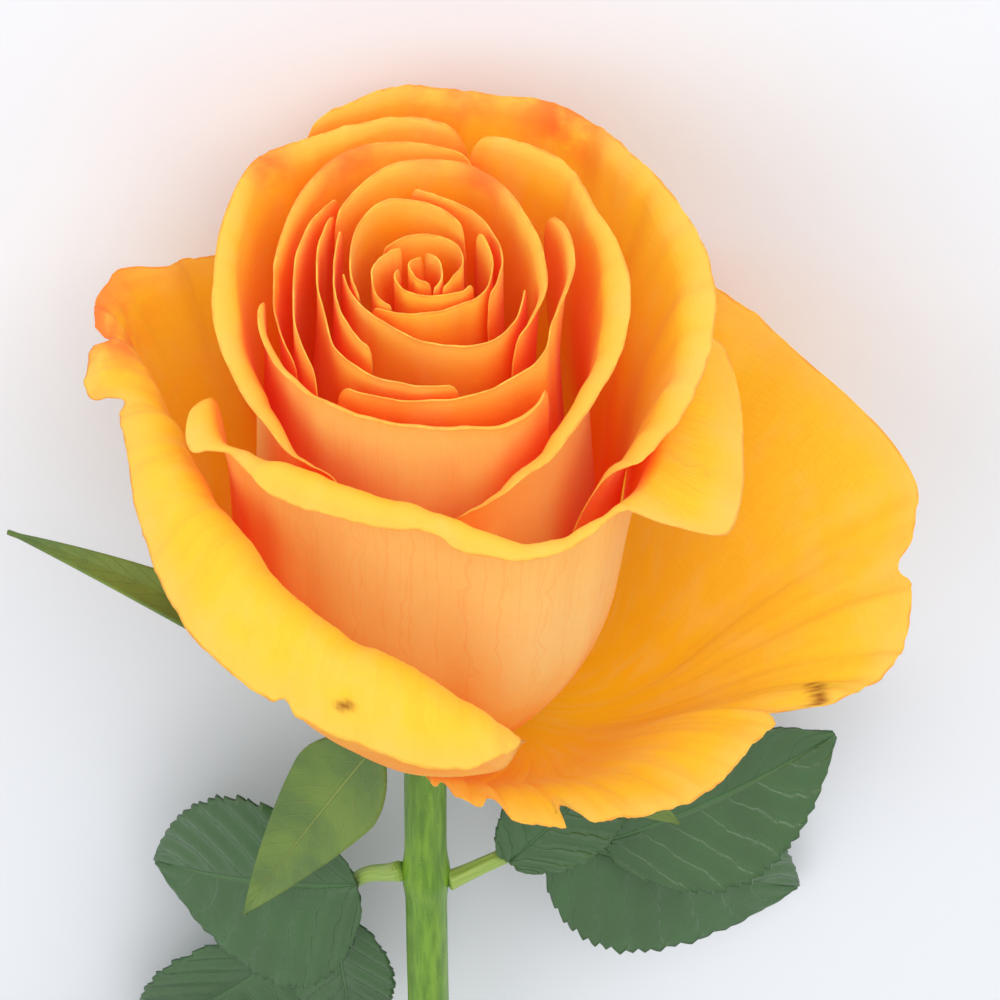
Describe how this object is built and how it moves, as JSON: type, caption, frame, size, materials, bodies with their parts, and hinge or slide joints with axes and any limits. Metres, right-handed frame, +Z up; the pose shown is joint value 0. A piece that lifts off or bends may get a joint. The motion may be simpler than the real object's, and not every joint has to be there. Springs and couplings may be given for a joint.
{
  "type": "cut rose",
  "caption": "Cut hybrid tea rose with a layered yellow-orange bloom, sepals, prickly green stem and toothed leaves, lying on its side.",
  "frame": {"origin": "centre of the bounding box in X and Y, on the surface the rose lies on", "axes": "+Z up from the surface, +Y from the bloom toward the cut end of the stem, +X toward the bloom's left-hand leaves as seen in the flower's front view"},
  "size_m": [0.1366, 0.309, 0.0729],
  "materials": {
    "petal_heart": "velvety petal, yellow",
    "petal_inner": "velvety petal, peach outside and yellow inside",
    "petal_cup": "velvety petal, golden yellow with pale rolled lip",
    "petal_outer": "velvety petal, bright yellow",
    "sepal_green": "matt yellow-green, pale hairy margin",
    "stem_green": "satin mid green",
    "leaf_green": "waxy dark green",
    "petiole_green": "satin light green"
  },
  "bodies": {
    "root": {"petal_heart_1": "petal_heart", "petal_heart_2": "petal_heart", "petal_heart_3": "petal_heart", "petal_heart_4": "petal_heart", "petal_heart_5": "petal_heart", "petal_heart_6": "petal_heart", "petal_inner_1": "petal_inner", "petal_inner_2": "petal_inner", "petal_inner_3": "petal_inner", "petal_inner_4": "petal_inner", "petal_inner_5": "petal_inner", "petal_ring_1": "petal_inner", "petal_ring_2": "petal_inner", "petal_ring_3": "petal_inner", "petal_ring_4": "petal_cup", "petal_ring_5": "petal_cup", "petal_cup_1": "petal_cup", "petal_cup_2": "petal_cup", "petal_cup_3": "petal_cup", "petal_cup_4": "petal_cup", "petal_outer_left": "petal_outer", "petal_outer_right": "petal_outer", "petal_outer_back": "petal_outer", "hip": "stem_green", "stem": "stem_green", "sepal_front": "sepal_green", "sepal_left": "sepal_green", "sepal_right": "sepal_green", "sepal_back_left": "sepal_green", "sepal_back_right": "sepal_green", "leaf_left_petiole": "petiole_green", "leaf_left_leaflet_1": "leaf_green", "leaf_left_leaflet_2": "leaf_green", "leaf_left_leaflet_3": "leaf_green", "leaf_right_petiole": "petiole_green", "leaf_right_leaflet_1": "leaf_green", "leaf_right_leaflet_2": "leaf_green", "leaf_right_leaflet_3": "leaf_green", "leaf_lower_left_petiole": "petiole_green", "leaf_lower_left_leaflet_1": "leaf_green", "leaf_lower_left_leaflet_2": "leaf_green", "leaf_lower_left_leaflet_3": "leaf_green", "leaf_lower_left_leaflet_4": "leaf_green", "leaf_lower_left_leaflet_5": "leaf_green", "leaf_lower_right_petiole": "petiole_green", "leaf_lower_right_leaflet_1": "leaf_green", "leaf_lower_right_leaflet_2": "leaf_green", "leaf_lower_right_leaflet_3": "leaf_green", "leaf_lower_right_leaflet_4": "leaf_green", "leaf_lower_right_leaflet_5": "leaf_green"}
  },
  "joints": []
}
